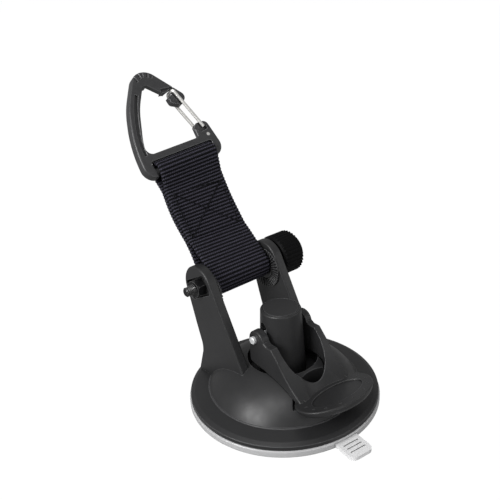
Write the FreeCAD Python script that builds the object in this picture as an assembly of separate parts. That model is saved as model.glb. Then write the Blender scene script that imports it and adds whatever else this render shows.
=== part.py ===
"""Lever-lock suction cup tie-down anchor with a webbing loop and a wire-gate carabiner.

Millimetres, +Z up.  The origin is the centre of the suction pad's underside.
X is the clamp bolt's axis (nut at -X, knob at +X), and the cam lever points to -Y.
The lever is drawn pressed down (locked), with the plunger and pad centre pulled up.
"""
import FreeCAD, Part
import math
import os

Vec = FreeCAD.Vector
AXIS_X = Vec(1, 0, 0)
AXIS_Z = Vec(0, 0, 1)
ORIGIN = Vec(0, 0, 0)

# --- driving dimensions -------------------------------------------------------
PAD_RADIUS = 40.0
PAD_RIM_TOP = 3.1
FLANGE_RADIUS = 39.4
FLANGE_EDGE_TOP = 4.7
SEAM_RADIUS = 31.2
SEAM_HEIGHT = 6.5
SEAM_BEAD = 0.5
WELL_RADIUS = 14.6
WELL_RIM_HEIGHT = 19.0
WELL_FLOOR = 11.6
FLOOR_THICKNESS = 1.8
WALL = 2.2

POST_TOP = 41.6
POST_TOP_RADIUS = 8.3
POST_FOOT_RADIUS = 9.4
POST_TAPER_START = 20.0
POST_BORE_RADIUS = 5.1
POST_FLANGE_RADIUS = 12.8
CAP_RADIUS = 7.4
CAP_THICKNESS = 2.2

PLUNGER_RADIUS = 5.0
PLUNGER_TOP = 35.0
PIN_Y = 1.5
PIN_Z = 31.5
PIN_RADIUS = 1.6
PLUNGER_TRAVEL = 3.0

LEVER_HALF_WIDTH = 13.4
LEVER_CUT_HALF_WIDTH = 10.2
LEVER_CUT_END_Y = -10.2
LEVER_WEB_BOTTOM = 12.6
FINGER_PAD_TOP = 16.1
FINGER_PAD_BOTTOM = 12.0
FINGER_PAD_THICKNESS = 3.3
FINGER_PAD_Y = -29.2
FINGER_PAD_HALF_LENGTH = 17.4
FINGER_PAD_HALF_DEPTH = 12.8
FINGER_PAD_TILT_DEG = -17.0
GAP = 0.35

BOLT_Y = 28.46
BOLT_Z = 47.38
BOLT_RADIUS = 2.0
BOLT_PITCH = 0.7
ARM_INNER_X = 15.6
ARM_OUTER_X = 19.8
ARM_END_RADIUS = 9.2
ARM_LEAN_DEG = 27.6
NUT_FLATS = 7.0
NUT_HEIGHT = 4.2
NUT_SEAT_X = -ARM_OUTER_X + 2.0
KNOB_RADIUS = 9.4
KNOB_START_X = 21.0
KNOB_END_X = 33.2
KNOB_RIBS = 34
ROSETTE_RADIUS = 9.1
ROSETTE_DROP = 2.9

STRAP_WIDTH = 29.1
STRAP_TOP_WIDTH = 31.2
STRAP_THICKNESS = 1.5
STRAP_ANGLE_DEG = 55.0
BUSHING_RADIUS = 4.3
LOWER_LOOP_RADIUS = BUSHING_RADIUS + 0.3

CARABINER_TILT_DEG = 5.4
CARABINER_THICKNESS = 4.6
CARABINER_BAR_S = 57.35
CARABINER_SHIFT_X = -0.55
STRAP_BAR_B = -4.7
STRAP_BAR_RADIUS = 2.0
UPPER_LOOP_RADIUS = STRAP_BAR_RADIUS + 0.35
WIRE_RADIUS = 0.75
GATE_HINGE = (16.3, 2.7)
GATE_REACH = 24.6


# --- helpers ------------------------------------------------------------------
def outline(place, start, *steps):
    """A closed wire: each step is ('line', end), ('arc', via, end) or ('curve', [points])."""
    edges = []
    here = start
    for step in steps:
        kind = step[0]
        if kind == "line":
            edges.append(Part.LineSegment(place(here), place(step[1])).toShape())
            here = step[1]
        elif kind == "arc":
            edges.append(Part.Arc(place(here), place(step[1]), place(step[2])).toShape())
            here = step[2]
        else:
            curve = Part.BSplineCurve()
            curve.interpolate([place(p) for p in [here] + step[1]])
            edges.append(curve.toShape())
            here = step[1][-1]
    if (place(here) - place(start)).Length > 1e-6:
        edges.append(Part.LineSegment(place(here), place(start)).toShape())
    return Part.Wire(edges)


def radial(p):
    return Vec(p[0], 0, p[1])


def side(x):
    return lambda p: Vec(x, p[0], p[1])


def turned(start, *steps):
    """A solid of revolution about Z from an (r, z) outline."""
    return Part.Face(outline(radial, start, *steps)).revolve(ORIGIN, AXIS_Z, 360)


def across(x0, x1, start, *steps):
    """A prism along X from a (y, z) outline."""
    return Part.Face(outline(side(x0), start, *steps)).extrude(Vec(x1 - x0, 0, 0))


def rod_x(radius, x0, x1, y=BOLT_Y, z=BOLT_Z):
    return Part.makeCylinder(radius, x1 - x0, Vec(x0, y, z), AXIS_X)


def hexagon_x(flats, x0, x1):
    corner = flats / math.sqrt(3)
    points = [Vec(x0, BOLT_Y + corner * math.cos(math.radians(60 * i + 30)),
                  BOLT_Z + corner * math.sin(math.radians(60 * i + 30))) for i in range(7)]
    return Part.Face(Part.makePolygon(points)).extrude(Vec(x1 - x0, 0, 0))


def mirrored(shape):
    return shape.mirror(ORIGIN, AXIS_X)


def both_sides(shape):
    return [shape, mirrored(shape)]


def oval(solid_of_revolution, depth_ratio, y):
    """Squeeze a solid of revolution along Y, then move it to its place."""
    squeeze = FreeCAD.Matrix()
    squeeze.scale(Vec(1, depth_ratio, 1))
    shape = solid_of_revolution.transformGeometry(squeeze)
    shape.translate(Vec(0, y, 0))
    return shape


def rounded_path(points, radius):
    """A wire of straight runs joined by tangent arcs of one radius."""
    edges = []
    here = points[0]
    for before, corner, after in zip(points, points[1:], points[2:]):
        into = (before - corner).normalize()
        out = (after - corner).normalize()
        half = into.getAngle(out) / 2
        reach = radius / math.tan(half)
        start = corner + into * reach
        end = corner + out * reach
        middle = (into + out).normalize()
        centre = corner + middle * (radius / math.sin(half))
        edges.append(Part.LineSegment(here, start).toShape())
        edges.append(Part.Arc(start, centre - middle * radius, end).toShape())
        here = end
    edges.append(Part.LineSegment(here, points[-1]).toShape())
    return Part.Wire(edges)


def round_wire(path, radius):
    """A round bar swept along a path."""
    first = path.Edges[0]
    direction = first.tangentAt(first.FirstParameter)
    section = Part.Wire(Part.makeCircle(radius, first.valueAt(first.FirstParameter), direction))
    return path.makePipeShell([section], True, False)


def fuse_all(shapes):
    return shapes[0].multiFuse(shapes[1:]).removeSplitter() if len(shapes) > 1 else shapes[0]


# --- base ---------------------------------------------------------------------
def dome_outside(offset=0.0):
    """The dome and flange as one full solid; offset grows the dome for clearances."""
    return turned((0, PAD_RIM_TOP),
                  ("line", (FLANGE_RADIUS, PAD_RIM_TOP)),
                  ("line", (FLANGE_RADIUS, FLANGE_EDGE_TOP)),
                  ("line", (37.7, 5.6)),
                  ("line", (SEAM_RADIUS + SEAM_BEAD + offset, SEAM_HEIGHT + offset)),
                  ("line", (SEAM_RADIUS + 0.8 * SEAM_BEAD + offset, SEAM_HEIGHT + 0.6 * SEAM_BEAD + offset)),
                  ("line", (SEAM_RADIUS + offset, SEAM_HEIGHT + 0.6 * SEAM_BEAD + offset)),
                  ("arc", (26.4 + 0.7 * offset, 12.7 + 0.7 * offset), (20.1 + 0.4 * offset, 16.9 + offset)),
                  ("arc", (17.3, 18.1 + offset), (WELL_RADIUS, WELL_RIM_HEIGHT + offset)),
                  ("line", (0, WELL_RIM_HEIGHT + offset)))


def dome_inside():
    under_floor = WELL_FLOOR - FLOOR_THICKNESS
    cavity = turned((0, 0),
                    ("line", (29.6, 0)),
                    ("line", (28.8, 5.4)),
                    ("arc", (25.0, 10.8), (19.0, 14.9)),
                    ("line", (WELL_RADIUS + WALL, 15.9)),
                    ("line", (WELL_RADIUS + WALL, under_floor)),
                    ("line", (0, under_floor)))
    seat_wall = Part.makeBox(33, 30, 20, Vec(-16.5, -46, under_floor))
    return cavity.cut(seat_wall)


def lever_seat():
    """The pocket in the dome's front that the lever's web and finger pad drop into."""
    gap = 0.6
    half_width = LEVER_CUT_HALF_WIDTH + gap
    front_y = -34.0
    web = Part.makeBox(2 * half_width, LEVER_CUT_END_Y - front_y, 12, Vec(-half_width, front_y, WELL_FLOOR))
    web = web.cut(Part.makeCylinder(LEVER_CUT_HALF_WIDTH - gap, 12, Vec(0, LEVER_CUT_END_Y, WELL_FLOOR)))
    pad = oval(Part.makeCylinder(FINGER_PAD_HALF_LENGTH + gap, 12, Vec(0, 0, WELL_FLOOR)),
               (FINGER_PAD_HALF_DEPTH + gap) / (FINGER_PAD_HALF_LENGTH + gap), FINGER_PAD_Y)
    return web.fuse(pad)


def arm(x0, x1):
    lean = math.radians(ARM_LEAN_DEG)
    across_arm = (math.cos(lean), -math.sin(lean))
    front = (BOLT_Y - ARM_END_RADIUS * across_arm[0], BOLT_Z - ARM_END_RADIUS * across_arm[1])
    back = (BOLT_Y + ARM_END_RADIUS * across_arm[0], BOLT_Z + ARM_END_RADIUS * across_arm[1])
    top = (BOLT_Y + ARM_END_RADIUS * math.sin(lean), BOLT_Z + ARM_END_RADIUS * math.cos(lean))
    foot_z = 4.0
    foot_y = front[0] - (front[1] - foot_z) * math.tan(lean)
    plate = across(x0, x1, front,
                   ("arc", top, back),
                   ("line", (32.5, 29.2)),
                   ("line", (30.3, 22.4)),
                   ("arc", (29.5, 18.6), (30.3, 14.6)),
                   ("line", (34.0, foot_z)),
                   ("line", (foot_y, foot_z)))
    rim = [e for e in plate.Edges if e.BoundBox.XLength < 0.01 and e.BoundBox.ZMax > 10]
    return plate.makeFillet(0.7, rim)


def nut_pocket():
    """A long pocket in the left arm's outer face that stops the nut from turning."""
    half_height = 4.25
    half_length = 7.4
    deepest_x = NUT_SEAT_X + 0.05
    block = Part.makeBox(deepest_x + ARM_OUTER_X + 1, 2 * half_length, 2 * half_height,
                         Vec(-ARM_OUTER_X - 1, -half_length, -half_height))
    corners = [e for e in block.Edges if abs(e.BoundBox.XLength) > 0.5]
    block = block.makeFillet(1.5, corners)
    block.rotate(ORIGIN, AXIS_X, -ARM_LEAN_DEG)
    block.translate(Vec(0, BOLT_Y, BOLT_Z))
    return block


def base_housing():
    shell = dome_outside().multiFuse([arm(ARM_INNER_X, ARM_OUTER_X), arm(-ARM_OUTER_X, -ARM_INNER_X)])
    well = Part.makeCylinder(WELL_RADIUS, 20, Vec(0, 0, WELL_FLOOR))
    post_hole = Part.makeCylinder(POST_FOOT_RADIUS + 0.05, 10, Vec(0, 0, 5))
    bolt_hole = rod_x(BOLT_RADIUS + 0.08, -30, 30)
    recesses = both_sides(rosette_rod(ROSETTE_RADIUS - 1.2, ARM_INNER_X - 1, ARM_INNER_X + 1))
    body = shell.cut([dome_inside(), well, post_hole, lever_seat(), bolt_hole, nut_pocket()] + recesses)
    return body.cut(post_screw_holes())


def post_screw_places():
    return [Vec(11.1 * math.cos(math.radians(a)), 11.1 * math.sin(math.radians(a)), 0) for a in (90, 210, 330)]


def post_screw_holes():
    return Part.makeCompound([Part.makeCylinder(0.8, 3, p + Vec(0, 0, 7.4)) for p in post_screw_places()])


def post_screws():
    """Three small screws that hold the post's flange up against the well's floor."""
    flange_z = WELL_FLOOR - FLOOR_THICKNESS - 1.9
    screws = []
    for place in post_screw_places():
        head = Part.makeCone(0.9, 1.5, 0.6, place + Vec(0, 0, flange_z - 0.6))
        shank = Part.makeCylinder(0.8, 2.3, place + Vec(0, 0, flange_z))
        screws.append(head.fuse(shank))
    return Part.makeCompound(screws)


def guide_post():
    flange_top = WELL_FLOOR - FLOOR_THICKNESS
    body = turned((POST_BORE_RADIUS, flange_top - 1.9),
                  ("line", (POST_FLANGE_RADIUS, flange_top - 1.9)),
                  ("line", (POST_FLANGE_RADIUS, flange_top)),
                  ("line", (POST_FOOT_RADIUS, flange_top)),
                  ("line", (POST_FOOT_RADIUS, POST_TAPER_START)),
                  ("line", (POST_TOP_RADIUS, POST_TOP - 0.9)),
                  ("arc", (POST_TOP_RADIUS - 0.15, POST_TOP - 0.35), (POST_TOP_RADIUS - 0.6, POST_TOP - 0.1)),
                  ("line", (CAP_RADIUS, POST_TOP - 0.1)),
                  ("line", (CAP_RADIUS, POST_TOP - CAP_THICKNESS)),
                  ("line", (POST_BORE_RADIUS, POST_TOP - CAP_THICKNESS)))
    slot_low = PIN_Z - PLUNGER_TRAVEL - 0.5
    slot = across(-12, 12, (PIN_Y - 2.1, slot_low),
                  ("arc", (PIN_Y, slot_low - 2.1), (PIN_Y + 2.1, slot_low)),
                  ("line", (PIN_Y + 2.1, 35.0)),
                  ("arc", (PIN_Y, 37.1), (PIN_Y - 2.1, 35.0)))
    return body.cut([slot, post_screw_holes()])


def post_cap():
    return turned((0, POST_TOP - CAP_THICKNESS),
                  ("line", (CAP_RADIUS, POST_TOP - CAP_THICKNESS)),
                  ("line", (CAP_RADIUS, POST_TOP - 0.3)),
                  ("line", (CAP_RADIUS - 0.3, POST_TOP)),
                  ("line", (0, POST_TOP)))


# --- suction ------------------------------------------------------------------
FOOT_RADIUS = 8.2
FOOT_BOTTOM = 4.9
FOOT_TOP = 6.3
VAULT_HEIGHT = 3.6
TAB_ANGLE_DEG = -96.5


def suction_pad():
    disc = turned((0, VAULT_HEIGHT),
                  ("arc", (15, 0.86 * VAULT_HEIGHT), (32.5, 0)),
                  ("line", (39.2, 0)),
                  ("arc", (39.8, 0.3), (PAD_RADIUS, 0.9)),
                  ("line", (PAD_RADIUS, 2.3)),
                  ("arc", (39.8, 2.9), (39.2, PAD_RIM_TOP)),
                  ("line", (28.5, PAD_RIM_TOP)),
                  ("line", (22, 3.7)),
                  ("line", (13.5, 5.1)),
                  ("line", (11.2, 7.2)),
                  ("line", (0, 7.2)))
    pocket = Part.makeCylinder(FOOT_RADIUS + 0.1, FOOT_TOP - FOOT_BOTTOM + 0.2, Vec(0, 0, FOOT_BOTTOM - 0.1))
    neck = Part.makeCylinder(PLUNGER_RADIUS + 0.1, 4, Vec(0, 0, FOOT_TOP))
    return disc.cut([pocket, neck]).fuse(pull_tab()).removeSplitter()


def pull_tab():
    """A flat radial tab for peeling the pad off, with three moulded grip grooves."""
    half = 5.1
    root = 38.0
    tip = 49.8
    corner = 2.4
    bevel = 0.7
    bottom = 0.9
    top = 2.4

    def flat(p):
        return Vec(p[0], p[1], bottom)

    plan = outline(flat, (root, -half),
                   ("line", (tip - corner, -half)),
                   ("arc", (tip - bevel, bevel - half), (tip, corner - half)),
                   ("line", (tip, half - corner)),
                   ("arc", (tip - bevel, half - bevel), (tip - corner, half)),
                   ("line", (root, half)))
    grooves = [Part.makeBox(0.5, 7, 1, Vec(r, -3.5, top - 0.25)) for r in (42.4, 44.4, 46.4)]
    tab = Part.Face(plan).extrude(AXIS_Z * (top - bottom)).cut(grooves)
    tab.rotate(ORIGIN, AXIS_Z, TAB_ANGLE_DEG)
    return tab


def plunger():
    shaft = turned((0, FOOT_BOTTOM),
                   ("line", (FOOT_RADIUS, FOOT_BOTTOM)),
                   ("line", (FOOT_RADIUS, FOOT_TOP)),
                   ("line", (PLUNGER_RADIUS, FOOT_TOP)),
                   ("line", (PLUNGER_RADIUS, PLUNGER_TOP - 0.5)),
                   ("line", (PLUNGER_RADIUS - 0.5, PLUNGER_TOP)),
                   ("line", (0, PLUNGER_TOP)))
    return shaft.cut(rod_x(PIN_RADIUS, -10, 10, PIN_Y, PIN_Z))


def return_spring():
    coil_radius = 3.7
    wire_radius = 0.4
    height = POST_TOP - CAP_THICKNESS - PLUNGER_TOP - 2 * wire_radius
    helix = Part.makeHelix(height / 3.5, height, coil_radius)
    helix.translate(Vec(0, 0, PLUNGER_TOP + wire_radius))
    return round_wire(Part.Wire(helix.Edges), wire_radius)


def lever_pin():
    left = -LEVER_HALF_WIDTH - 1.3
    right = LEVER_HALF_WIDTH + 0.6
    pin = rod_x(PIN_RADIUS, left, right, PIN_Y, PIN_Z)
    ends = [e for e in pin.Edges if e.Length > 5 and e.BoundBox.XLength < 0.01]
    return pin.makeFillet(0.5, ends)


# --- lever --------------------------------------------------------------------
def lever_side_plates():
    """The full-width block of the lever's side outline, ears at the pin and a ramp to the pad."""
    ear = 4.2
    block = across(-LEVER_HALF_WIDTH, LEVER_HALF_WIDTH, (PIN_Y + 3.2, 20.8),
                   ("line", (PIN_Y + 3.2, PIN_Z)),
                   ("arc", (PIN_Y - 1.2, PIN_Z + ear), (PIN_Y - 5.6, PIN_Z + 0.6)),
                   ("line", (-5.6, PIN_Z - 0.3)),
                   ("line", (-8.6, PIN_Z - 0.3)),
                   ("line", (-12.5, 26.9)),
                   ("curve", [(-18.0, 20.2), (-24.6, 14.7)]),
                   ("line", (-27.0, 13.2)),
                   ("line", (-27.0, 12.2)),
                   ("line", (-15, 12.2)),
                   ("line", (-5.2, 19.4)),
                   ("arc", (0, 19.7), (PIN_Y + 3.2, 20.8)))
    rim = [e for e in block.Edges if e.BoundBox.XLength < 0.01 and e.BoundBox.ZMax > 20.5]
    return block.makeFillet(0.6, rim)


def lever_u_cut():
    """The U-shaped opening, seen from above, that the post stands in."""
    slot = Part.makeBox(2 * LEVER_CUT_HALF_WIDTH, 40, 60, Vec(-LEVER_CUT_HALF_WIDTH, LEVER_CUT_END_Y, 0))
    return slot.fuse(Part.makeCylinder(LEVER_CUT_HALF_WIDTH, 60, Vec(0, LEVER_CUT_END_Y, 0)))


def lever_scoop():
    """A shallow trough down the middle of the ramp, so its two edges stand as ridges."""
    radius = 22.0
    top = Vec(0, -9.0, 30.6)
    foot = Vec(0, -22.5, FINGER_PAD_TOP + 1.2)
    along = (foot - top).normalize()
    up = Vec(0, -along.z, along.y)
    up = up if up.z > 0 else up * -1
    depth = 2.2
    start = top + up * (radius - depth) - along * 20
    return Part.makeCylinder(radius, 60, start, along)


def finger_pad():
    """The oval pad, tipped up towards its front edge, and the cuts for its inlay and dimples."""
    half = FINGER_PAD_HALF_LENGTH
    bottom = -FINGER_PAD_THICKNESS
    body = turned((0, bottom),
                  ("line", (half - 3.6, bottom)),
                  ("arc", (half - 1.6, bottom + 0.4), (half - 0.6, bottom + 1.4)),
                  ("line", (half, -0.6)),
                  ("arc", (half - 0.1, -0.2), (half - 0.5, 0)),
                  ("line", (0, 0)))
    pad = oval(body, FINGER_PAD_HALF_DEPTH / half, 0)
    marks = [oval(Part.makeCylinder(12.3, 1, Vec(0, 0, -0.45)), 0.52, -1.9)]
    count = 14
    for i in range(count):
        turn = 2 * math.pi * (i + 0.5) / count
        marks.append(Part.makeSphere(0.6, Vec(14.5 * math.cos(turn), 9.3 * math.sin(turn) - 1.2, 0.35)))
    for shape in [pad] + marks:
        shape.rotate(ORIGIN, AXIS_X, FINGER_PAD_TILT_DEG)
        shape.translate(Vec(0, FINGER_PAD_Y, FINGER_PAD_TOP))
    above_floor = Part.makeBox(80, 80, 20, Vec(-40, -80, FINGER_PAD_BOTTOM))
    return pad.common(above_floor), marks


def lever():
    pad, marks = finger_pad()
    web = lever_side_plates().cut([lever_u_cut(), lever_scoop()])
    under_web = Part.makeBox(2 * LEVER_CUT_HALF_WIDTH, 18, LEVER_WEB_BOTTOM, Vec(-LEVER_CUT_HALF_WIDTH, -25, 0))
    web = web.cut([under_web, dome_outside(GAP)])
    clear_of_seat = Part.makeBox(40, 40, WELL_FLOOR + 0.4, Vec(-20, -45, 0))
    inner_block = Part.makeBox(2 * LEVER_CUT_HALF_WIDTH, 40 + LEVER_CUT_END_Y, 40,
                               Vec(-LEVER_CUT_HALF_WIDTH, -40, LEVER_WEB_BOTTOM))
    inner_web = lever_side_plates().common(inner_block)
    inner_web = inner_web.cut([lever_u_cut(), lever_scoop(), clear_of_seat])
    holes = rod_x(PIN_RADIUS + 0.06, -20, 20, PIN_Y, PIN_Z)
    return web.multiFuse([inner_web, pad]).cut([holes] + marks)


# --- clamp --------------------------------------------------------------------
def rosette_rod(radius, x0, x1):
    """A rod on the rosette's centre, which sits a little down the arm from the bolt."""
    lean = math.radians(ARM_LEAN_DEG)
    return rod_x(radius, x0, x1, BOLT_Y - ROSETTE_DROP * math.sin(lean), BOLT_Z - ROSETTE_DROP * math.cos(lean))


def rosette():
    """The right arm's toothed disc: radial teeth face inwards."""
    centre = rosette_rod(1, 0, 1).BoundBox.Center
    boss = rosette_rod(ROSETTE_RADIUS - 1.2, ARM_INNER_X, ARM_INNER_X + 1)
    disc = rosette_rod(ROSETTE_RADIUS, ARM_INNER_X - 0.75, ARM_INNER_X)
    bore = rod_x(BOLT_RADIUS + 0.08, 10, 25)
    teeth = []
    count = 40
    for i in range(count):
        cut = Part.makeBox(0.4, 8, 0.7, Vec(ARM_INNER_X - 0.8, 4.8, -0.35))
        cut.rotate(ORIGIN, AXIS_X, 360 * i / count)
        cut.translate(Vec(0, centre.y, centre.z))
        teeth.append(cut)
    return boss.fuse(disc).cut([bore] + teeth)


def strap_bushing():
    reach = ARM_INNER_X - 0.75
    return rod_x(BUSHING_RADIUS, -reach, reach).cut(rod_x(BOLT_RADIUS + 0.08, -20, 20))


def clamp_bolt():
    """M4 bolt: plain shank, ring grooves for the thread at the nut end, hex head in the knob."""
    head_x = 25.0
    thread_start = -17.0
    tip = -26.0
    root = BOLT_RADIUS - 0.35
    points = [Vec(head_x, 0, 0), Vec(head_x, BOLT_RADIUS, 0), Vec(thread_start, BOLT_RADIUS, 0)]
    turns = int((thread_start - tip - 0.6) / BOLT_PITCH)
    for i in range(turns):
        x = thread_start - i * BOLT_PITCH
        points.append(Vec(x - 0.5 * BOLT_PITCH, root, 0))
        points.append(Vec(x - BOLT_PITCH, BOLT_RADIUS, 0))
    points += [Vec(tip + 0.4, BOLT_RADIUS, 0), Vec(tip, root - 0.1, 0), Vec(tip, 0, 0), Vec(head_x, 0, 0)]
    shank = Part.Face(Part.makePolygon(points)).revolve(ORIGIN, AXIS_X, 360)
    shank.translate(Vec(0, BOLT_Y, BOLT_Z))
    return shank.fuse(hexagon_x(NUT_FLATS, head_x, head_x + 2.8))


def hex_nut():
    inner = NUT_SEAT_X
    outer = inner - NUT_HEIGHT
    corner = NUT_FLATS / math.sqrt(3)
    chamfer = rod_x(corner + 1, outer, inner).common(
        Part.makeCone(corner - 0.5, corner + 1.5, abs(outer - inner), Vec(outer, BOLT_Y, BOLT_Z), AXIS_X))
    return hexagon_x(NUT_FLATS, outer, inner).common(chamfer).cut(rod_x(BOLT_RADIUS + 0.06, -30, 0))


def knob():
    """A ribbed thumb knob moulded over the bolt's head."""
    profile = [Vec(KNOB_START_X, 0, 0), Vec(KNOB_START_X, KNOB_RADIUS - 1.0, 0),
               Vec(KNOB_START_X + 0.7, KNOB_RADIUS - 0.35, 0), Vec(KNOB_END_X - 2.0, KNOB_RADIUS - 0.35, 0),
               Vec(KNOB_END_X - 0.3, KNOB_RADIUS - 1.9, 0), Vec(KNOB_END_X, KNOB_RADIUS - 2.6, 0),
               Vec(KNOB_END_X, 0, 0), Vec(KNOB_START_X, 0, 0)]
    core = Part.Face(Part.makePolygon(profile)).revolve(ORIGIN, AXIS_X, 360)
    core.translate(Vec(0, BOLT_Y, BOLT_Z))
    ribs = []
    for i in range(KNOB_RIBS):
        turn = 2 * math.pi * i / KNOB_RIBS
        reach = KNOB_RADIUS - 0.55
        ribs.append(rod_x(0.55, KNOB_START_X + 0.9, KNOB_END_X - 1.9,
                          BOLT_Y + reach * math.cos(turn), BOLT_Z + reach * math.sin(turn)))
    pocket = [rod_x(BOLT_RADIUS, 19, 26), hexagon_x(NUT_FLATS, 25.0, 27.8)]
    dish = rod_x(5.2, KNOB_END_X - 0.6, KNOB_END_X + 1)
    return core.multiFuse(ribs).cut(pocket + [dish])


def knob_washer():
    return rod_x(6.4, ARM_OUTER_X + 0.06, KNOB_START_X).cut(rod_x(BOLT_RADIUS, 15, 25))


# --- strap --------------------------------------------------------------------
STRAP_DIR = Vec(0, math.cos(math.radians(STRAP_ANGLE_DEG)), math.sin(math.radians(STRAP_ANGLE_DEG)))
STRAP_FACE = Vec(0, -STRAP_DIR.z, STRAP_DIR.y)
BOLT_POINT = Vec(0, BOLT_Y, BOLT_Z)
TILT = math.radians(CARABINER_TILT_DEG)
CARABINER_A = AXIS_X * math.cos(TILT) + STRAP_DIR * math.sin(TILT)
CARABINER_B = AXIS_X * -math.sin(TILT) + STRAP_DIR * math.cos(TILT)
CARABINER_ORIGIN = BOLT_POINT + AXIS_X * CARABINER_SHIFT_X + STRAP_DIR * CARABINER_BAR_S
STRAP_BAR_S = CARABINER_BAR_S + STRAP_BAR_B * math.cos(TILT)
STRAP_LEAN_X = CARABINER_SHIFT_X - STRAP_BAR_B * math.sin(TILT)


def strap_point(x, s, n):
    return BOLT_POINT + AXIS_X * x + STRAP_DIR * s + STRAP_FACE * n


def strap_edge(sign):
    """Maps (s, n) onto the plane of one selvedge, which leans with the carabiner's bar."""
    top_s = STRAP_BAR_S + sign * 0.5 * STRAP_TOP_WIDTH * math.tan(TILT)
    drift = STRAP_LEAN_X + sign * 0.5 * (STRAP_TOP_WIDTH - STRAP_WIDTH)

    def place(p):
        return strap_point(sign * 0.5 * STRAP_WIDTH + drift * p[0] / top_s, p[0], p[1])
    return place, top_s


def teardrop(centre, radius, apex):
    """Tangent point on a circle at (centre, 0), seen from an apex at (apex, 0)."""
    spread = math.acos(radius / abs(apex - centre))
    toward = 1 if apex > centre else -1
    return centre + toward * radius * math.cos(spread), radius * math.sin(spread)


def strap_outer(sign):
    place, top_s = strap_edge(sign)
    half = STRAP_THICKNESS
    low = LOWER_LOOP_RADIUS + STRAP_THICKNESS
    high = UPPER_LOOP_RADIUS + STRAP_THICKNESS
    ls, ln = teardrop(0, low, 20.0)
    hs, hn = teardrop(top_s, high, top_s - 9.0)
    low_end = ls + (20.0 - ls) * (1 - half / ln)
    high_start = hs - (hs - (top_s - 9.0)) * (1 - half / hn)
    return outline(place, (ls, -ln),
                   ("arc", (-low, 0), (ls, ln)),
                   ("line", (low_end, half)),
                   ("line", (high_start, half)),
                   ("line", (hs, hn)),
                   ("arc", (top_s + high, 0), (hs, -hn)),
                   ("line", (high_start, -half)),
                   ("line", (low_end, -half)))


def loop_hole(sign, lower):
    place, top_s = strap_edge(sign)
    centre, radius, apex = (0, LOWER_LOOP_RADIUS, 13.5) if lower else (top_s, UPPER_LOOP_RADIUS, top_s - 5.6)
    s, n = teardrop(centre, radius, apex)
    far = centre - radius if lower else centre + radius
    return outline(place, (apex, 0), ("line", (s, n)), ("arc", (far, 0), (s, -n)))


def webbing_strap():
    """Doubled webbing, sewn flat between a loop on the bushing and a loop on the carabiner."""
    band = Part.makeLoft([strap_outer(-1), strap_outer(1)], True, True)
    holes = [Part.makeLoft([loop_hole(-1, lower), loop_hole(1, lower)], True, True) for lower in (True, False)]
    return band.cut(holes)


def thread_line(x0, s0, x1, s1, front):
    width = 0.8
    height = 0.3
    start = strap_point(x0, s0, 0)
    end = strap_point(x1, s1, 0)
    along = (end - start).normalize()
    sideways = along.cross(STRAP_FACE)
    face = STRAP_THICKNESS if front else -STRAP_THICKNESS - height
    corner = start - sideways * (0.5 * width) + STRAP_FACE * face
    points = [corner, corner + sideways * width, corner + sideways * width + (end - start),
              corner + (end - start), corner]
    return Part.Face(Part.makePolygon(points)).extrude(STRAP_FACE * height)


def strap_stitching():
    """The sewn box with a cross, on both faces of the doubled strap."""
    x = 10.5
    low, high = 23.0, 38.0
    lines = [(-x, low, x, low), (-x, high, x, high), (-x, low, -x, high), (x, low, x, high),
             (-x, low, x, high), (-x, high, x, low)]
    faces = [fuse_all([thread_line(*line, front) for line in lines]) for front in (True, False)]
    return Part.makeCompound(faces)


# --- carabiner ----------------------------------------------------------------
def carabiner_place(n):
    return lambda p: CARABINER_ORIGIN + CARABINER_A * p[0] + CARABINER_B * p[1] + STRAP_FACE * n


def carabiner_prism(n0, n1, start, *steps):
    return Part.Face(outline(carabiner_place(n0), start, *steps)).extrude(STRAP_FACE * (n1 - n0))


def rounded_outline(place, corners):
    """A closed wire of straight runs and tangent arcs, from (a, b, radius) corners."""
    edges = []
    points = [Vec(a, b, 0) for a, b, _ in corners]
    ends = []
    count = len(points)
    for i, (_, _, radius) in enumerate(corners):
        into = (points[i - 1] - points[i]).normalize()
        out = (points[(i + 1) % count] - points[i]).normalize()
        half = into.getAngle(out) / 2
        reach = radius / math.tan(half)
        middle = (into + out).normalize()
        bottom = points[i] + middle * (radius / math.sin(half) - radius)
        ends.append((points[i] + into * reach, bottom, points[i] + out * reach))
    for i, (start, bottom, end) in enumerate(ends):
        before = ends[i - 1][2]
        edges.append(Part.LineSegment(place(before), place(start)).toShape())
        edges.append(Part.Arc(place(start), place(bottom), place(end)).toShape())
    return Part.Wire(edges)


def rounded_prism(n0, n1, corners):
    return Part.Face(rounded_outline(carabiner_place(n0), corners)).extrude(STRAP_FACE * (n1 - n0))


def around_hinge(radius, a):
    """The point at this radius from the gate's hinge and at this a, on the nose side."""
    return a, GATE_HINGE[1] + math.sqrt(radius ** 2 - (a - GATE_HINGE[0]) ** 2)


CARABINER_CORNERS = [
    (-21.5, -7.4, 5.6), (-20.2, 9.1, 60.0), (-13.5, 25.1, 45.0), (0.0, 43.3, 7.4), (16.3, 22.6, 2.4),
    (12.1, 19.3, 1.7), (7.6, 21.4, 1.7), (7.2, 26.9, 1.2), (4.9, 27.0, 1.0), (-1.2, 33.0, 2.4), (-8.8, 22.8, 40.0),
    (-14.9, 9.2, 30.0), (-16.6, 3.0, 3.0), (10.9, 3.0, 1.2), (11.3, 7.3, 1.2), (13.4, 9.3, 1.6),
    (19.0, 9.3, 2.6), (21.0, -7.4, 5.2)]
SLOT_LOW_B = STRAP_BAR_B + STRAP_BAR_RADIUS - 0.2
BAR_A0 = -16.6
BAR_A1 = 16.0
LEG_STEP = 1.5
STRAP_SLOT_CORNERS = [(-16.8, SLOT_LOW_B, 1.1), (16.2, SLOT_LOW_B, 1.1), (16.2, 0.0, 1.1), (-16.8, 0.0, 1.1)]


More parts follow.
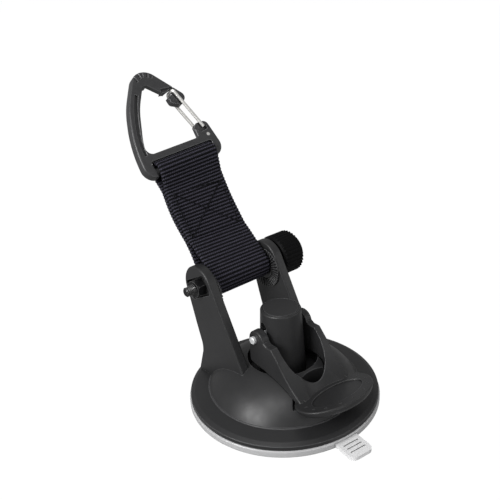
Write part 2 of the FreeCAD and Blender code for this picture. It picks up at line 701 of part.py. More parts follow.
def carabiner_body():
    half = 0.5 * CARABINER_THICKNESS
    body = rounded_prism(-half, half, CARABINER_CORNERS)
    rim = [e for e in body.Edges if on_face(e, half)]
    body = body.makeFillet(0.8, rim).cut([rounded_prism(-9, 9, STRAP_SLOT_CORNERS), strap_bar_room()])
    bevels = [back_bevel((-1.2, 33.0), (4.9, 27.0), 0.3, 3.2), back_bevel((11.35, 8.0), (10.85, 2.2), 0.6, 3.0)]
    body = body.cut([gate_mouth()] + gate_reliefs() + spine_grooves() + grip_notches() + bevels)
    return body.fuse(strap_bar())


def back_bevel(start, end, ridge_n, inward_reach):
    """A wedge off the inner edge from start to end, between its ridge and the back face."""
    high = carabiner_place(ridge_n)(start)
    run = carabiner_place(ridge_n)(end) - high
    inward = run.cross(STRAP_FACE).normalize()
    inward = inward if inward.dot(CARABINER_A) > 0 else inward * -1
    depth = ridge_n + 0.5 * CARABINER_THICKNESS + 1.0
    edge = high - inward * 0.3
    points = [edge, edge - STRAP_FACE * depth, edge - STRAP_FACE * depth + inward * inward_reach, edge]
    return Part.Face(Part.makePolygon(points)).extrude(run)


def gate_mouth():
    """The banana-shaped notch behind the nose that the gate's crossing wire swings out of."""
    outer = GATE_REACH + 1.1
    inner = GATE_REACH - 1.15
    return carabiner_prism(-9, 9, around_hinge(outer, 2.0),
                           ("arc", around_hinge(outer, 7.0), around_hinge(outer, 11.4)),
                           ("arc", (12.0, 26.6), around_hinge(inner, 11.6)),
                           ("arc", around_hinge(inner, 7.0), around_hinge(inner, 2.0)))


def on_face(edge, half):
    heights = [abs((v.Point - CARABINER_ORIGIN).dot(STRAP_FACE)) for v in edge.Vertexes]
    return all(abs(h - half) < 0.01 for h in heights)


def strap_bar_room():
    """The gap in the lower edge that the strap's loop sits in, below its slot."""
    return carabiner_prism(-9, 9, (BAR_A0, -9), ("line", (BAR_A1, -9)), ("line", (BAR_A1, -1.5)),
                           ("line", (BAR_A0, -1.5)))


def strap_bar():
    """The round bar that the strap's loop turns on, with its ends let into the cheeks."""
    let_in = 0.8
    start = carabiner_place(0)((BAR_A0 - let_in, STRAP_BAR_B))
    return Part.makeCylinder(STRAP_BAR_RADIUS, BAR_A1 - BAR_A0 + 2 * let_in, start, CARABINER_A)


def gate_reliefs():
    """Steps in both faces that give the gate's two legs room to swing inwards."""
    deep = LEG_STEP
    bend_room = 1.0
    nose = [("line", (13.9, 18.4)), ("line", (12.7, 24.0)), ("line", (12.1, 28.3)), ("line", (5.0, 28.6))]
    front_ear = [("line", (17.4, 5.2)), ("line", (17.1, 10)), ("line", (9.3, 10)), ("line", (9.8, 8.2))]
    back_ear = [("line", (17.6, 1.6)), ("line", (17.1, 10)), ("line", (8.0, 10)), ("line", (8.6, 8.9))]
    cuts = [carabiner_prism(deep, 5, (5.0, 18.4), *nose), carabiner_prism(-5, -deep, (5.0, 18.4), *nose),
            carabiner_prism(deep, 5, (13.6, 4.7), *front_ear), carabiner_prism(-5, -bend_room, (15.3, 1.6), *back_ear)]
    axis = carabiner_place(-4)(GATE_HINGE)
    return cuts + [Part.makeCylinder(WIRE_RADIUS + 0.06, 9, axis, STRAP_FACE)]


def spine_grooves():
    """The long shallow groove on each face of the spine that makes it an I-beam."""
    half = 0.5 * CARABINER_THICKNESS
    left = [(-17.9, 3.0), (-16.9, 10.4), (-14.5, 17.2), (-11.4, 23.6), (-7.6, 29.6)]
    right = [(-6.4, 28.8), (-10.0, 22.8), (-13.0, 16.4), (-15.4, 9.8), (-16.5, 3.0)]
    cuts = []
    for n0, n1 in ((half - 0.7, half + 2), (-half - 2, 0.7 - half)):
        cuts.append(carabiner_prism(n0, n1, left[0], ("curve", left[1:]), ("line", right[0]),
                                    ("curve", right[1:])))
    return cuts


def grip_notches():
    """Grooves across both front and back edges of the crown, deep on its shoulder and shallow on top."""
    deep = [((-4.4, 38.2), (-3.25, 34.5)), ((-1.6, 39.4), (-1.1, 35.6))]
    shallow = [((1.3, 39.4), (0.1, 35.9)), ((4.0, 38.6), (2.1, 35.3)), ((6.4, 37.4), (3.7, 34.6))]
    cuts = []
    for side in (1, -1):
        face = side * 0.5 * CARABINER_THICKNESS
        cuts += [grip_notch(*ends, 0.5, face) for ends in deep]
        cuts += [grip_notch(*ends, 0.5, face + side * 0.2) for ends in shallow]
    return cuts


def grip_notch(start, end, radius, n):
    """A round-bottomed groove from beyond the rim to its inner end on the face."""
    first = carabiner_place(n)(start)
    run = carabiner_place(n)(end) - first
    return Part.makeCylinder(radius, run.Length, first, run)


def wire_gate():
    """A U of round wire: the far leg turns in the ear's hole, the near leg's end rides in the step."""
    n = LEG_STEP + WIRE_RADIUS + 0.12
    far_top = around_hinge(GATE_REACH, 9.9)
    near_top = around_hinge(GATE_REACH, 10.8)
    hinge_end = carabiner_place(0.5 * CARABINER_THICKNESS)(GATE_HINGE)
    points = [hinge_end, carabiner_place(-n)(GATE_HINGE), carabiner_place(-n)(far_top),
              carabiner_place(n)(near_top), carabiner_place(n)((16.0, 6.6))]
    return round_wire(rounded_path(points, 1.1), WIRE_RADIUS)


# --- write one file per piece ---------------------------------------------------
NODES = {
    "base_housing": base_housing,
    "guide_post": guide_post,
    "post_cap": post_cap,
    "post_screws": post_screws,
    "suction_pad": suction_pad,
    "plunger": plunger,
    "return_spring": return_spring,
    "lever": lever,
    "lever_pin": lever_pin,
    "rosette_right": rosette,
    "rosette_left": lambda: mirrored(rosette()),
    "strap_bushing": strap_bushing,
    "clamp_bolt": clamp_bolt,
    "hex_nut": hex_nut,
    "knob": knob,
    "knob_washer": knob_washer,
    "webbing_strap": webbing_strap,
    "strap_stitching": strap_stitching,
    "carabiner_body": carabiner_body,
    "wire_gate": wire_gate,
}

os.makedirs("parts", exist_ok=True)
for name, build in NODES.items():
    shape = build()
    box = shape.BoundBox
    print(f"{name}: {len(shape.Solids)} solid(s), valid {shape.isValid()}, volume {shape.Volume:.1f}, "
          f"x {box.XMin:.1f} {box.XMax:.1f}, y {box.YMin:.1f} {box.YMax:.1f}, z {box.ZMin:.1f} {box.ZMax:.1f}")
    shape.exportStep(f"parts/{name}.step")
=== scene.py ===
import math

import bmesh
import bpy
from mathutils import Matrix, Vector


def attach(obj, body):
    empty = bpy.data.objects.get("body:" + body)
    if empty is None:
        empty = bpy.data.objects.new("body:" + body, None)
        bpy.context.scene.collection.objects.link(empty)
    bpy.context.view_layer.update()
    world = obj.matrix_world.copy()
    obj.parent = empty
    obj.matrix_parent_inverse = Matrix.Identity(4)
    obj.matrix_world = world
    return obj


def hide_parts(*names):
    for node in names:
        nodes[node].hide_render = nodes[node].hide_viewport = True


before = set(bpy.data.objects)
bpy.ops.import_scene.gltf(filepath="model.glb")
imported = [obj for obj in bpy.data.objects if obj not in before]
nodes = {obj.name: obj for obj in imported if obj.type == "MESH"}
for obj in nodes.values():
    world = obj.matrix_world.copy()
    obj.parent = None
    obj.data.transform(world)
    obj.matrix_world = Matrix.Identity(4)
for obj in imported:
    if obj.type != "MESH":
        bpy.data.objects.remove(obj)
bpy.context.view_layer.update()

MM = 0.001

# --- the strap's place, as in the design: it runs from the bolt's axis up to the carabiner's bar ---
BOLT_POINT = Vector((0.0, 28.46, 47.38)) * MM
STRAP_ANGLE = math.radians(55.0)
STRAP_DIR = Vector((0.0, math.cos(STRAP_ANGLE), math.sin(STRAP_ANGLE)))
STRAP_FACE = Vector((0.0, -STRAP_DIR.z, STRAP_DIR.y))
CARABINER_TILT = math.radians(5.4)
CARABINER_BAR_S = 57.35 * MM
CARABINER_SHIFT_X = -0.55 * MM
STRAP_BAR_B = -4.7 * MM
STRAP_BAR_S = CARABINER_BAR_S + STRAP_BAR_B * math.cos(CARABINER_TILT)
STRAP_LEAN_X = CARABINER_SHIFT_X - STRAP_BAR_B * math.sin(CARABINER_TILT)
LAYER = 1.5 * MM
LOWER_RADIUS = 5.35 * MM
UPPER_RADIUS = 3.7 * MM

# --- camera ------------------------------------------------------------------
CAMERA_PLACE = Vector((-0.146957, -0.169543, 0.169647))
CAMERA_YAW = 0.66613
CAMERA_PITCH = 0.42757
CAMERA_ROLL = -0.06254
CAMERA_LENS_MM = 46.229
SENSOR_MM = 36.0


def add_camera():
    """The camera looks down and to the right, turned a little about its own line of sight."""
    cos_yaw, sin_yaw = math.cos(CAMERA_YAW), math.sin(CAMERA_YAW)
    flat = math.cos(CAMERA_PITCH)
    ahead = Vector((sin_yaw * flat, cos_yaw * flat, -math.sin(CAMERA_PITCH)))
    level = Vector((cos_yaw, -sin_yaw, 0.0))
    upright = level.cross(ahead)
    right = level * math.cos(CAMERA_ROLL) + upright * math.sin(CAMERA_ROLL)
    up = upright * math.cos(CAMERA_ROLL) - level * math.sin(CAMERA_ROLL)
    data = bpy.data.cameras.new("camera")
    data.lens = CAMERA_LENS_MM
    data.sensor_width = SENSOR_MM
    data.clip_start = 0.01
    camera = bpy.data.objects.new("camera", data)
    turn = Matrix((right, up, -ahead)).transposed()
    camera.matrix_world = Matrix.Translation(CAMERA_PLACE) @ turn.to_4x4()
    bpy.context.scene.collection.objects.link(camera)
    bpy.context.scene.camera = camera


# --- materials ------------------------------------------------------------------
def new_material(name, colour, roughness, metallic=0.0, specular=0.5):
    """A Principled material and its node tree's handles."""
    material = bpy.data.materials.new(name)
    material.use_nodes = True
    tree = material.node_tree
    shader = tree.nodes["Principled BSDF"]
    shader.inputs["Base Color"].default_value = (*colour, 1.0)
    shader.inputs["Roughness"].default_value = roughness
    shader.inputs["Metallic"].default_value = metallic
    shader.inputs["Specular IOR Level"].default_value = specular
    return material, tree, shader


def place_of(tree):
    """The row frame's coordinates, so that a pattern has the same size on every piece."""
    return tree.nodes.new("ShaderNodeTexCoord").outputs["Object"]


def noise(tree, scale, detail=2.0, roughness=0.5, stretch=None):
    """A noise texture's value; scale is in cells a metre."""
    texture = tree.nodes.new("ShaderNodeTexNoise")
    texture.inputs["Scale"].default_value = scale
    texture.inputs["Detail"].default_value = detail
    texture.inputs["Roughness"].default_value = roughness
    place = place_of(tree)
    if stretch:
        mapping = tree.nodes.new("ShaderNodeMapping")
        mapping.inputs["Scale"].default_value = stretch
        tree.links.new(place, mapping.inputs["Vector"])
        place = mapping.outputs["Vector"]
    tree.links.new(place, texture.inputs["Vector"])
    return texture.outputs["Fac"]


def ramp(tree, value, low, high, from_low=0.3, from_high=0.7):
    """Maps a value's middle range onto low to high."""
    node = tree.nodes.new("ShaderNodeMapRange")
    node.inputs["From Min"].default_value = from_low
    node.inputs["From Max"].default_value = from_high
    node.inputs["To Min"].default_value = low
    node.inputs["To Max"].default_value = high
    tree.links.new(value, node.inputs["Value"])
    return node.outputs["Result"]


def maths(tree, operation, *values):
    """A Math node's result; each value is a number or a socket."""
    node = tree.nodes.new("ShaderNodeMath")
    node.operation = operation
    for value, socket in zip(values, node.inputs):
        if isinstance(value, bpy.types.NodeSocket):
            tree.links.new(value, socket)
        else:
            socket.default_value = value
    return node.outputs["Value"]


def wave(tree, value, cycles):
    """A wave from 0 to 1 that turns once for each 1/cycles of the value."""
    cosine = maths(tree, "COSINE", maths(tree, "MULTIPLY", value, 2.0 * math.pi * cycles))
    return maths(tree, "MULTIPLY_ADD", cosine, 0.5, 0.5)


def mix_colour(tree, factor, first, second):
    """A blend of two colours; each is three numbers or a socket."""
    node = tree.nodes.new("ShaderNodeMix")
    node.data_type = "RGBA"
    tree.links.new(factor, node.inputs["Factor"])
    for value, socket in ((first, node.inputs["A"]), (second, node.inputs["B"])):
        if isinstance(value, bpy.types.NodeSocket):
            tree.links.new(value, socket)
        else:
            socket.default_value = (*value, 1.0)
    return node.outputs["Result"]


def bump(tree, shader, height, distance, strength=1.0, under=None):
    """Adds a bump, on top of another if under is given."""
    node = tree.nodes.new("ShaderNodeBump")
    node.inputs["Strength"].default_value = strength
    node.inputs["Distance"].default_value = distance
    tree.links.new(height, node.inputs["Height"])
    if under:
        tree.links.new(under, node.inputs["Normal"])
    tree.links.new(node.outputs["Normal"], shader.inputs["Normal"])
    return node.outputs["Normal"]


EDGE_RADIUS = 0.45 * MM


def rounded_edges(tree):
    """A normal that turns softly round sharp edges, as a moulded edge does."""
    node = tree.nodes.new("ShaderNodeBevel")
    node.samples = 8
    node.inputs["Radius"].default_value = EDGE_RADIUS
    return node.outputs["Normal"]


def edge_wear_and_highlight(tree, colour, rubbed_and_lit):
    """Lighter along edges: partly rubbed wear, and partly a painted highlight where a rounded edge would
    catch the light.
    """
    flatness = tree.nodes.new("ShaderNodeVectorMath")
    flatness.operation = "DOT_PRODUCT"
    tree.links.new(rounded_edges(tree), flatness.inputs[0])
    tree.links.new(tree.nodes.new("ShaderNodeNewGeometry").outputs["Normal"], flatness.inputs[1])
    return mix_colour(tree, ramp(tree, flatness.outputs["Value"], 1.0, 0.0, 0.93, 0.995), colour, rubbed_and_lit)


CREASE_REACH = 0.9 * MM


def creases(tree, colour, creased):
    """Darker in grooves and inner corners, where less light gets in."""
    node = tree.nodes.new("ShaderNodeAmbientOcclusion")
    node.samples = 8
    node.inputs["Distance"].default_value = CREASE_REACH
    openness = ramp(tree, node.outputs["AO"], 0.0, 1.0, 0.50, 0.92)
    return mix_colour(tree, openness, creased, colour)


def moulded_plastic(name, colour, roughness, grain=1.0, specular=0.4):
    """Satin plastic from an eroded mould: fine grain and faint flow mottling, with edges painted lighter
    (partly rubbed wear, partly a painted highlight) and painted shade in creases.
    """
    material, tree, shader = new_material(name, colour, roughness, specular=specular)
    light = tuple(c * 1.25 for c in colour)
    mottled = mix_colour(tree, ramp(tree, noise(tree, 90.0, 3.0), 0.0, 0.6), colour, light)
    # Edge colour four times lighter: rubbed wear and a painted highlight.
    rubbed_and_lit = tuple(c * 4.0 for c in colour)
    # Crease colour: painted shade for grooves and inner corners.
    creased = tuple(c * 0.1 for c in colour)
    tree.links.new(creases(tree, edge_wear_and_highlight(tree, mottled, rubbed_and_lit), creased), shader.inputs["Base Color"])
    rough = ramp(tree, noise(tree, 260.0, 4.0), roughness - 0.04, roughness + 0.05)
    tree.links.new(rough, shader.inputs["Roughness"])
    bump(tree, shader, noise(tree, 3800.0, 2.0), 0.00003 * grain, 0.5, under=rounded_edges(tree))
    return material


PAD_RADIUS = 40.0 * MM


def clear_vinyl():
    """The pad: soft milky vinyl with flow marks. Its rim is painted darker as painted shade, the thin tab
    beyond it paler as painted light, and its grooves get painted shade.
    """
    # The rim colour is painted shade, the paler tab colour is painted light, and groove is painted shade for
    # the tab's grooves.
    shaded_rim, lit_tab, groove = (0.42, 0.42, 0.425), (0.74, 0.74, 0.745), (0.16, 0.16, 0.162)
    material, tree, shader = new_material("clear_vinyl", shaded_rim, 0.26)
    radius = tree.nodes.new("ShaderNodeVectorMath")
    radius.operation = "LENGTH"
    tree.links.new(place_of(tree), radius.inputs[0])
    beyond_rim = ramp(tree, radius.outputs["Value"], 0.0, 1.0, PAD_RADIUS, PAD_RADIUS + 1.5 * MM)
    body = mix_colour(tree, beyond_rim, shaded_rim, lit_tab)
    tree.links.new(creases(tree, body, groove), shader.inputs["Base Color"])
    shader.inputs["IOR"].default_value = 1.46
    shader.inputs["Subsurface Weight"].default_value = 0.15
    shader.inputs["Subsurface Radius"].default_value = (0.002, 0.002, 0.002)
    rough = ramp(tree, noise(tree, 160.0, 3.0), 0.12, 0.24)
    tree.links.new(rough, shader.inputs["Roughness"])
    bump(tree, shader, noise(tree, 220.0, 2.0), 0.00004, 0.25)
    return material


def bare_steel(name, colour, roughness, stretch, metallic):
    """Bright drawn steel with fine lines along the draw."""
    material, tree, shader = new_material(name, colour, roughness, metallic=metallic)
    lines = noise(tree, 3500.0, 3.0, 0.6, stretch)
    tree.links.new(ramp(tree, lines, roughness * 0.85, roughness * 1.2), shader.inputs["Roughness"])
    return material


def black_steel():
    """Black oxide on steel, thin at the edges, where the lighter edge colour is also a painted highlight."""
    oxide = (0.008, 0.008, 0.009)
    material, tree, shader = new_material("black_steel", oxide, 0.36, metallic=0.3, specular=0.35)
    # Edges painted lighter: thin oxide and a painted highlight.
    rubbed_and_lit = edge_wear_and_highlight(tree, oxide, (0.09, 0.09, 0.09))
    tree.links.new(rubbed_and_lit, shader.inputs["Base Color"])
    rough = ramp(tree, noise(tree, 900.0, 3.0), 0.28, 0.50)
    tree.links.new(rough, shader.inputs["Roughness"])
    bump(tree, shader, noise(tree, 2600.0, 2.0), 0.00002, 0.4)
    return material


def dark_anodised():
    """Dark grey anodised aluminium with a fine blasted grain, paler edges that are partly rubbed wear and
    partly a painted highlight, and painted shade in creases.
    """
    colour = (0.046, 0.046, 0.0475)
    material, tree, shader = new_material("dark_anodised", colour, 0.40, metallic=0.35)
    mottled = mix_colour(tree, ramp(tree, noise(tree, 500.0, 3.0), 0.0, 1.0), colour, (0.056, 0.056, 0.058))
    # Edges painted paler: rubbed wear and a painted highlight.
    rubbed_and_lit = edge_wear_and_highlight(tree, mottled, (0.16, 0.16, 0.165))
    tree.links.new(creases(tree, rubbed_and_lit, (0.006, 0.006, 0.006)), shader.inputs["Base Color"])
    tree.links.new(ramp(tree, noise(tree, 1200.0, 3.0), 0.34, 0.48), shader.inputs["Roughness"])
    bump(tree, shader, noise(tree, 4200.0, 2.0), 0.00003, 0.5, under=rounded_edges(tree))
    return material


WARP_PITCH = 1.05 * MM
RIB_PITCH = 1.475 * MM


def stagger(tree, along):
    """Half a yarn's pitch for every rib further on, so that the yarns of neighbouring ribs are staggered."""
    rib = maths(tree, "FLOOR", maths(tree, "MULTIPLY", along, MM / RIB_PITCH))
    return maths(tree, "MULTIPLY", rib, 0.5)


def webbing_material():
    """Ribbed webbing: warp yarns run over each rib. The rib tops are painted lighter as a painted highlight,
    and the dips between ribs and between yarns are painted darker as painted shade.
    """
    # dark is the painted shade between ribs and yarns; light is the painted highlight on the rib tops.
    dark = (0.0006, 0.0006, 0.0009)
    light = (0.0600, 0.0570, 0.0800)
    material, tree, shader = new_material("ribbed_webbing", dark, 0.85, specular=0.15)
    shader.inputs["Sheen Weight"].default_value = 0.02
    shader.inputs["Sheen Roughness"].default_value = 0.45
    shader.inputs["Sheen Tint"].default_value = (0.62, 0.64, 0.80, 1.0)
    cloth = tree.nodes.new("ShaderNodeUVMap")
    cloth.uv_map = "cloth"
    split = tree.nodes.new("ShaderNodeSeparateXYZ")
    tree.links.new(cloth.outputs["UV"], split.inputs["Vector"])
    across = split.outputs["X"]
    along = split.outputs["Y"]
    lit_rib_top = wave(tree, along, MM / RIB_PITCH)
    yarn_count = maths(tree, "MULTIPLY", across, MM / WARP_PITCH)
    yarn = wave(tree, maths(tree, "ADD", yarn_count, stagger(tree, along)), 1.0)
    fibres = noise(tree, 3200.0, 3.0, 0.6, (1.0, 0.25, 0.25))
    # Painted highlight on the rib tops, times painted shade between the yarns.
    painted_rib_shading = maths(tree, "MULTIPLY", ramp(tree, lit_rib_top, 0.0, 1.0, 0.25, 0.95),
                  ramp(tree, yarn, 0.35, 1.0, 0.05, 0.85))
    speckled = maths(tree, "MULTIPLY", painted_rib_shading, ramp(tree, fibres, 0.7, 1.2))
    tree.links.new(mix_colour(tree, speckled, dark, light), shader.inputs["Base Color"])
    yarns = bump(tree, shader, yarn, 0.00022, 0.8)
    bump(tree, shader, fibres, 0.00004, 0.6, under=yarns)
    return material


def thread_material():
    """Bonded thread, twisted, slightly shinier than the webbing."""
    dark = (0.0012, 0.0012, 0.0018)
    light = (0.006, 0.006, 0.008)
    material, tree, shader = new_material("bonded_thread", dark, 0.70, specular=0.15)
    twist = noise(tree, 2600.0, 2.0, 0.5)
    tree.links.new(mix_colour(tree, twist, dark, light), shader.inputs["Base Color"])
    bump(tree, shader, twist, 0.00006, 0.6)
    return material


# --- CAD pieces: materials and shading ------------------------------------------
SMOOTH_ANGLE = math.radians(28.0)


def dress(names, material):
    """Gives CAD nodes a material and shades their curved faces smoothly."""
    for name in names:
        piece = nodes[name]
        piece.data.materials.clear()
        piece.data.materials.append(material)
        for face in piece.data.polygons:
            face.use_smooth = True
        piece.data.set_sharp_from_angle(angle=SMOOTH_ANGLE)


def dress_cad_pieces():
    black = moulded_plastic("black_plastic", (0.0175, 0.0175, 0.0182), 0.40, specular=0.38)
    dark = moulded_plastic("knob_plastic", (0.0022, 0.0022, 0.0024), 0.50, specular=0.08)
    inner = moulded_plastic("inner_plastic", (0.012, 0.012, 0.0125), 0.38, grain=0.4)
    dress(["base_housing", "guide_post", "post_cap", "lever", "rosette_left", "rosette_right"], black)
    dress(["knob"], dark)
    dress(["plunger", "strap_bushing"], inner)
    dress(["suction_pad"], clear_vinyl())
    pin = bare_steel("pin_steel", (0.78, 0.79, 0.80), 0.30, (0.1, 1.0, 1.0), 0.5)
    wire = bare_steel("gate_steel", (0.90, 0.89, 0.86), 0.30, (1.0, 0.15, 0.15), 0.75)
    plated = bare_steel("spring_steel", (0.60, 0.60, 0.60), 0.30, (1.0, 1.0, 1.0), 0.9)
    dress(["lever_pin"], pin)
    dress(["wire_gate"], wire)
    dress(["return_spring", "post_screws"], plated)
    dress(["clamp_bolt", "hex_nut", "knob_washer"], black_steel())
    dress(["carabiner_body"], dark_anodised())


# --- webbing strap ----------------------------------------------------------------
STRAP_WIDTH = 29.2 * MM
STRAP_TOP_WIDTH = 30.8 * MM
RIB_HEIGHT = 0.42 * MM
ROWS_PER_RIB = 6
COLUMNS = 34
COLUMN_CROWDING = 1.15
RIB_ROUNDNESS = 0.7
SELVEDGE_SHARE = 0.05
SELVEDGE_TAPER = 0.9
INSIDE_LIFT = 0.3
ROSETTE_REACH = 9.0 * MM
LAYER_GAP = 0.04 * MM
LOW_RUN = 17.5 * MM
HIGH_RUN = 8.5 * MM
FLAT_START_S = 19.0 * MM
FLAT_END_S = STRAP_BAR_S - 9.0 * MM
LEAN_START_S = 18.0 * MM
TURN_STEPS = 40
PATH_POINTS = 700
SMOOTHING_ROUNDS = 12
# each face's bow to the left: how far, where along the strap, and over what length
FRONT_BOW = (1.0 * MM, 33.0 * MM, 14.0 * MM)
BACK_BOW = (0.9 * MM, 30.0 * MM, 18.0 * MM)


def strap_frame(x, s, n):
    """A point by its place across the strap, along it from the bolt, and out of its middle plane."""
    return BOLT_POINT + Vector((x, 0.0, 0.0)) + STRAP_DIR * s + STRAP_FACE * n


def loop_path():
    """The webbing's centreline in (s, n): up the front, round the bar, down the back, round the bushing."""
    flat_n = 0.5 * LAYER + LAYER_GAP
    low_turn = tangent_angle(LOWER_RADIUS, LOW_RUN, flat_n)
    high_turn = tangent_angle(UPPER_RADIUS, HIGH_RUN, flat_n)
    points = []
    for i in range(TURN_STEPS + 1):
        turn = -math.pi + (math.pi - low_turn) * i / TURN_STEPS
        points.append((LOWER_RADIUS * math.cos(turn), -LOWER_RADIUS * math.sin(turn)))
    points += straight(points[-1], (FLAT_START_S, flat_n))
    points += straight(points[-1], (FLAT_END_S, flat_n))
    top = []
    for i in range(TURN_STEPS + 1):
        turn = (math.pi - high_turn) * (1.0 - i / TURN_STEPS)
        top.append((STRAP_BAR_S + UPPER_RADIUS * math.cos(turn), UPPER_RADIUS * math.sin(turn)))
    points += straight(points[-1], top[0])
    points += top
    back = [(s, -n) for s, n in reversed(points)]
    return points + back[1:-1]


def tangent_angle(radius, distance, flat_n):
    """The angle at which a straight run leaves a loop to meet the flat part at this distance."""
    return math.acos((radius - flat_n) / distance)


def straight(start, end):
    """A straight run from just after start to end, in steps of about a millimetre."""
    count = max(2, round(math.dist(start, end) / MM))
    return [(start[0] + (end[0] - start[0]) * i / count, start[1] + (end[1] - start[1]) * i / count)
            for i in range(1, count + 1)]


def smoothed(points, rounds):
    """Rounds off a closed path's corners by averaging neighbours."""
    for _ in range(rounds):
        count = len(points)
        neighbours = [(points[i - 1], points[i], points[(i + 1) % count]) for i in range(count)]
        points = [((a[0] + 2 * b[0] + c[0]) / 4, (a[1] + 2 * b[1] + c[1]) / 4) for a, b, c in neighbours]
    return points


def path_length(points):
    """The length of a closed path."""
    return sum(math.dist(a, b) for a, b in zip(points, points[1:] + points[:1]))


def evenly(points, count):
    """Points a constant distance apart along a closed path, and the path's length."""
    closed = points + [points[0]]
    runs = [math.dist(a, b) for a, b in zip(closed, closed[1:])]
    total = sum(runs)
    out = []
    walked = 0.0
    index = 0
    for i in range(count):
        target = total * i / count
        while walked + runs[index] < target:
            walked += runs[index]
            index += 1
        share = (target - walked) / runs[index]
        a, b = closed[index], closed[index + 1]
        out.append((a[0] + (b[0] - a[0]) * share, a[1] + (b[1] - a[1]) * share))
    return out, total


def bell(value, height, centre, width):
    """A smooth bump of this height at its centre."""
    return height * math.exp(-((value - centre) / width) ** 2)


def strap_sides(s, front):
    """The two selvedges' x at a place along the strap: it bows past the rosettes and widens to the bar."""
    share = max(0.0, min(1.0, s / STRAP_BAR_S))
    half = 0.5 * (STRAP_WIDTH + (STRAP_TOP_WIDTH - STRAP_WIDTH) * share)
    bow = bell(s, *FRONT_BOW)
    if not front:
        bow += bell(s, *BACK_BOW)
    free = max(0.0, min(1.0, (s - ROSETTE_REACH) / ROSETTE_REACH))
    middle = STRAP_LEAN_X * share - bow * free
    return middle - half, middle + half


def strap_section(row_point, outward, u, side, lift, front):
    """A vertex of the strap: u runs across from -1 to 1, side is 1 on the outside and -1 inside."""
    s, n = row_point
    left, right = strap_sides(s, front)
    x = left + (right - left) * 0.5 * (u + 1.0)
    edge = max(0.0, (abs(u) - (1.0 - SELVEDGE_SHARE)) / SELVEDGE_SHARE)
    half = 0.5 * LAYER * math.sqrt(1.0 - SELVEDGE_TAPER * edge * edge)
    reach = half + (lift if side > 0 else -INSIDE_LIFT * lift)
    leaning = max(0.0, min(1.0, (s - LEAN_START_S) / (STRAP_BAR_S - LEAN_START_S)))
    lean = x * math.tan(CARABINER_TILT) * leaning
    return strap_frame(x, s + outward[0] * side * reach + lean, n + outward[1] * side * reach)


def strap_ring():
    """The places round the webbing's section: across the outside, then back across the inside."""
    across = [-1.0 + 2.0 * i / COLUMNS for i in range(COLUMNS + 1)]
    across = [math.copysign(1.0 - (1.0 - abs(u)) ** COLUMN_CROWDING, u) for u in across]
    return [(u, 1) for u in across] + [(u, -1) for u in reversed(across)]


def strap_rows(mesh, path, ring):
    """A ring of vertices round the webbing's section for each point of the path."""
    rows = []
    for i, point in enumerate(path):
        before, after = path[i - 1], path[(i + 1) % len(path)]
        run = (after[0] - before[0], after[1] - before[1])
        size = math.hypot(*run)
        outward = (-run[1] / size, run[0] / size)
        front = i < len(path) / 2
        rib = math.cos(2.0 * math.pi * i / ROWS_PER_RIB)
        lift = RIB_HEIGHT * (abs(0.5 + 0.5 * rib) ** RIB_ROUNDNESS - 0.5)
        rows.append([mesh.verts.new(strap_section(point, outward, u, side, lift, front)) for u, side in ring])
    return rows


def strap_mesh(path, length):
    """One closed mesh, with a map in millimetres: across the webbing and along the loop."""
    mesh = bmesh.new()
    ring = strap_ring()
    rows = strap_rows(mesh, path, ring)
    cloth = mesh.loops.layers.uv.new("cloth")
    for i, below in enumerate(rows):
        above = rows[(i + 1) % len(rows)]
        for k in range(len(ring)):
            nxt = (k + 1) % len(ring)
            face = mesh.faces.new((below[k], below[nxt], above[nxt], above[k]))
            face.smooth = True
            places = ((k, i), (nxt, i), (nxt, i + 1), (k, i + 1))
            for loop, (column, row) in zip(face.loops, places):
                across = 0.5 * ring[column][0] * STRAP_WIDTH
                loop[cloth].uv = (across / MM, length * row / len(rows) / MM)
    bmesh.ops.recalc_face_normals(mesh, faces=mesh.faces)
    return mesh


def new_piece(name, mesh, material):
    """An object in the scene from a bmesh, which is freed."""
    data = bpy.data.meshes.new(name)
    mesh.to_mesh(data)
    mesh.free()
    data.materials.append(material)
    piece = bpy.data.objects.new(name, data)
    bpy.context.scene.collection.objects.link(piece)
    return piece


def build_strap():
    """The webbing: a loop with a whole number of ribs."""
    path = smoothed(evenly(loop_path(), PATH_POINTS)[0], SMOOTHING_ROUNDS)
    ribs = round(path_length(path) / RIB_PITCH)
    path, length = evenly(path, ribs * ROWS_PER_RIB)
    strap = new_piece("ribbed_strap", strap_mesh(path, length), webbing_material())
    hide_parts("webbing_strap")
    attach(strap, "strap")


# --- stitching ----------------------------------------------------------------------
THREAD_RADIUS = 0.25 * MM
STITCH_LENGTH = 2.6 * MM
STITCH_SIDES = 8
STITCH_RINGS = 7
STITCH_GAP = 0.06
THREAD_SINK = 0.9
THREAD_RISE = 1.1
BOX_HALF_X = 12.3 * MM
BOX_LOW_S = 20.0 * MM
BOX_HIGH_S = 40.0 * MM


def add_stitch(mesh, start, end, out):
    """One stitch: a short thread that rises out of the cloth, lies on it and dips in again."""
    along = (end - start).normalized()
    sideways = along.cross(out).normalized()
    rings = []
    for i in range(STITCH_RINGS):
        share = i / (STITCH_RINGS - 1)
        rise = math.sin(math.pi * share) ** 0.5
        middle = start.lerp(end, share) + out * (THREAD_RADIUS * (THREAD_RISE * rise - THREAD_SINK))
        rings.append([mesh.verts.new(middle + (sideways * math.cos(a) + out * math.sin(a)) * THREAD_RADIUS)
                      for a in (2.0 * math.pi * k / STITCH_SIDES for k in range(STITCH_SIDES))])
    for low, high in zip(rings, rings[1:]):
        for k in range(STITCH_SIDES):
            nxt = (k + 1) % STITCH_SIDES
            mesh.faces.new((low[k], low[nxt], high[nxt], high[k])).smooth = True
    mesh.faces.new(rings[0])
    mesh.faces.new(rings[-1])


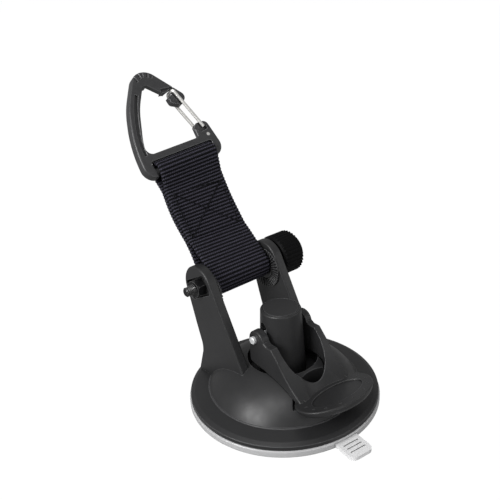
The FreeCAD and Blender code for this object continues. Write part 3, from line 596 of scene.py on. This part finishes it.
def stitch_line(mesh, start, end, side):
    """A row of stitches between two (x, s) points on one face of the strap."""
    height = side * (LAYER + 0.5 * RIB_HEIGHT + LAYER_GAP)
    first = strap_frame(start[0], start[1], height)
    last = strap_frame(end[0], end[1], height)
    count = round((last - first).length / STITCH_LENGTH)
    for i in range(count):
        start_share = (i + STITCH_GAP) / count
        end_share = (i + 1 - STITCH_GAP) / count
        add_stitch(mesh, first.lerp(last, start_share), first.lerp(last, end_share), STRAP_FACE * side)


def build_stitching():
    """The sewn box with a cross, on both faces."""
    mesh = bmesh.new()
    for side in (1, -1):
        shift = 0.5 * sum(strap_sides(0.5 * (BOX_LOW_S + BOX_HIGH_S), side > 0))
        left, right = shift - BOX_HALF_X, shift + BOX_HALF_X
        corners = [(left, BOX_LOW_S), (right, BOX_LOW_S), (right, BOX_HIGH_S), (left, BOX_HIGH_S)]
        for i, corner in enumerate(corners):
            stitch_line(mesh, corner, corners[(i + 1) % 4], side)
        stitch_line(mesh, corners[0], corners[2], side)
        stitch_line(mesh, corners[1], corners[3], side)
    bmesh.ops.recalc_face_normals(mesh, faces=mesh.faces)
    stitches = new_piece("box_stitches", mesh, thread_material())
    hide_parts("strap_stitching")
    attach(stitches, "strap")


# --- studio -------------------------------------------------------------------------
ROOM_HALF = 4.0
ROOM_HEIGHT = 4.0
FLOOR_DROP = 0.0003


def add_floor():
    """A white floor and walls, lit evenly. They stay out of the object's reflections."""
    low = [(-ROOM_HALF, -ROOM_HALF), (ROOM_HALF, -ROOM_HALF), (ROOM_HALF, ROOM_HALF), (-ROOM_HALF, ROOM_HALF)]
    corners = [(x, y, -FLOOR_DROP) for x, y in low] + [(x, y, ROOM_HEIGHT) for x, y in low]
    walls = [(i, (i + 1) % 4, (i + 1) % 4 + 4, i + 4) for i in range(4)]
    data = bpy.data.meshes.new("floor")
    data.from_pydata(corners, [], [(0, 1, 2, 3)] + walls)
    floor = bpy.data.objects.new("floor", data)
    bpy.context.scene.collection.objects.link(floor)
    material, _, shader = new_material("pale_floor", (0.02, 0.02, 0.02), 1.0, specular=0.0)
    shader.inputs["Emission Color"].default_value = (1.0, 1.0, 1.0, 1.0)
    shader.inputs["Emission Strength"].default_value = 1.0
    data.materials.append(material)
    floor.visible_diffuse = False
    floor.visible_glossy = False
    floor.visible_shadow = False


def add_lamp(name, place, target, size, watts):
    """A square soft box aimed at a point."""
    data = bpy.data.lights.new(name, "AREA")
    data.size = size
    data.energy = watts
    lamp = bpy.data.objects.new(name, data)
    aim = Vector(target) - Vector(place)
    lamp.matrix_world = Matrix.Translation(place) @ aim.to_track_quat("-Z", "Y").to_matrix().to_4x4()
    bpy.context.scene.collection.objects.link(lamp)


LIT_POINT = (0.0, 0.01, 0.05)
WORLD_STRENGTH = 0.31
# each lamp's name, place, width in metres, and power in watts
LAMPS = (
    ("key", (-0.85, -0.02, 0.50), 0.45, 9.0),
    ("high", (-0.42, -0.20, 0.85), 0.30, 2.2),
    ("back", (0.05, 0.20, 0.90), 0.60, 0.5),
    ("right", (0.65, -0.60, 0.30), 0.50, 0.9),
    ("front", (-0.10, -0.92, 0.06), 0.25, 1.2),
)


def add_light():
    """Soft boxes on all sides, the brightest from the left, and an even grey sky."""
    for name, place, size, watts in LAMPS:
        add_lamp(name, place, LIT_POINT, size, watts)
    world = bpy.data.worlds.new("studio")
    world.use_nodes = True
    background = world.node_tree.nodes["Background"]
    background.inputs["Color"].default_value = (1.0, 1.0, 1.0, 1.0)
    background.inputs["Strength"].default_value = WORLD_STRENGTH
    bpy.context.scene.world = world
    bpy.context.scene.view_settings.view_transform = "Standard"


# --- make everything ------------------------------------------------------------------
add_camera()
add_floor()
add_light()
dress_cad_pieces()
build_strap()
build_stitching()
